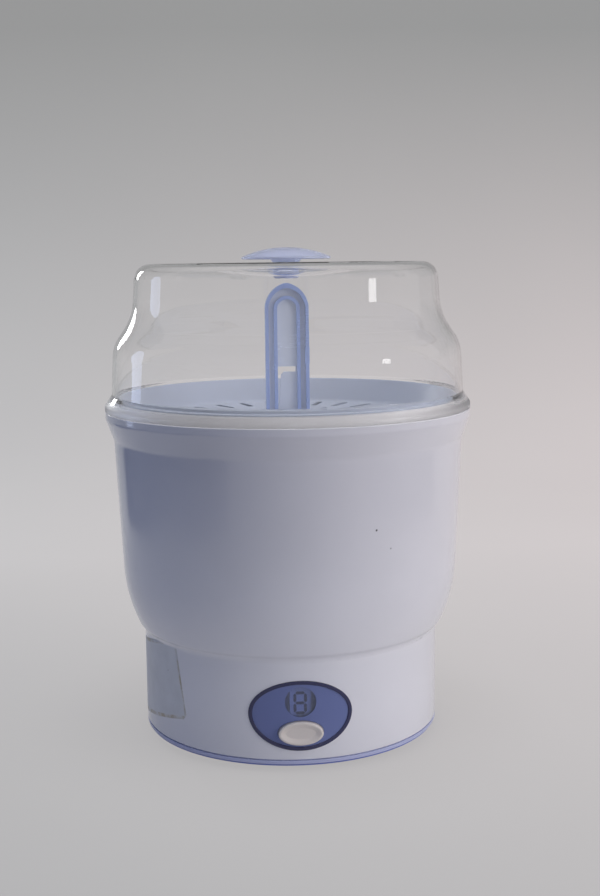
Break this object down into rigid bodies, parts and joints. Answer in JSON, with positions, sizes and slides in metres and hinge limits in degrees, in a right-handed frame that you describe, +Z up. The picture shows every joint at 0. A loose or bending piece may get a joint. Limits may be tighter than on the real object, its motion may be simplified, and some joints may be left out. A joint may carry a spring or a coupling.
{
  "type": "electric steam sterilizer",
  "caption": "Round electric steam sterilizer with a stepped clear lid, lift-out parts tray, bottle rack with stem handle, and an oval panel with display and push button.",
  "frame": {"origin": "centre of the footprint, on the surface that the rubber feet stand on", "axes": "+Z up along the axis of the round body, -Y towards the control panel, +X to the right of a person who faces the panel"},
  "size_m": [0.236, 0.236, 0.3137],
  "materials": {
    "shell_white": "glossy white with a lavender cast",
    "trim_lilac": "satin pale lilac",
    "cover_blue": "satin blue",
    "foot_rubber": "matt dark grey rubber",
    "screw_steel": "zinc plated",
    "bush_grey": "matt grey",
    "bezel_navy": "glossy navy",
    "fascia_blue": "glossy slate blue",
    "window_smoke": "smoked clear",
    "button_ivory": "satin ivory",
    "board_green": "green laminate",
    "part_black": "black moulded",
    "part_blue": "blue moulded",
    "tape_yellow": "taped winding",
    "can_aluminium": "drawn can",
    "seal_silicone": "translucent silicone",
    "plate_steel": "pressed stainless steel",
    "block_aluminium": "cast aluminium",
    "element_steel": "oxidised steel tube",
    "tray_blue": "satin periwinkle blue",
    "rack_blue": "satin periwinkle blue",
    "handle_blue": "satin periwinkle blue",
    "lid_clear": "clear, lightly hazed",
    "knob_blue": "translucent lilac blue"
  },
  "bodies": {
    "base": {"outer_housing": "shell_white", "base_ring": "trim_lilac", "base_cover": "cover_blue", "rubber_feet": "foot_rubber", "cover_screws": "screw_steel", "inlet_bush": "bush_grey", "panel_bezel": "bezel_navy", "panel_fascia": "fascia_blue", "display_window": "window_smoke", "switch_body": "part_black", "display_board": "board_green", "digit_module": "part_black", "plate_seal": "seal_silicone", "heating_plate": "plate_steel", "heater_block": "block_aluminium", "heater_element": "element_steel", "heater_strap": "screw_steel", "strap_screws": "screw_steel", "thermostat": "part_black", "thermal_fuse": "can_aluminium", "power_board": "board_green", "board_screws": "screw_steel", "transformer": "tape_yellow", "relay": "part_blue", "capacitor": "can_aluminium", "terminal_block": "part_blue"},
    "rack": {"bottle_rack": "rack_blue", "stem_handle": "handle_blue"},
    "tray": {"parts_tray": "tray_blue"},
    "lid": {"lid_dome": "lid_clear", "lid_knob": "knob_blue", "knob_retainer": "knob_blue"},
    "button": {"button_cap": "button_ivory", "switch_plunger": "part_black"}
  },
  "joints": [
    {"name": "rack_lift", "type": "slide", "parent": "base", "child": "rack", "axis": [0, 0, 1], "range_m": [0, 0.145]},
    {"name": "tray_lift", "type": "slide", "parent": "rack", "child": "tray", "axis": [0, 0, 1], "range_m": [0, 0.1]},
    {"name": "lid_lift", "type": "slide", "parent": "tray", "child": "lid", "axis": [0, 0, 1], "range_m": [0, 0.12]},
    {"name": "button_press", "type": "slide", "parent": "base", "child": "button", "axis": [0, 1, 0], "range_m": [0, 0.0015], "stiffness_N_per_m": 400, "springref_m": -0.001}
  ]
}
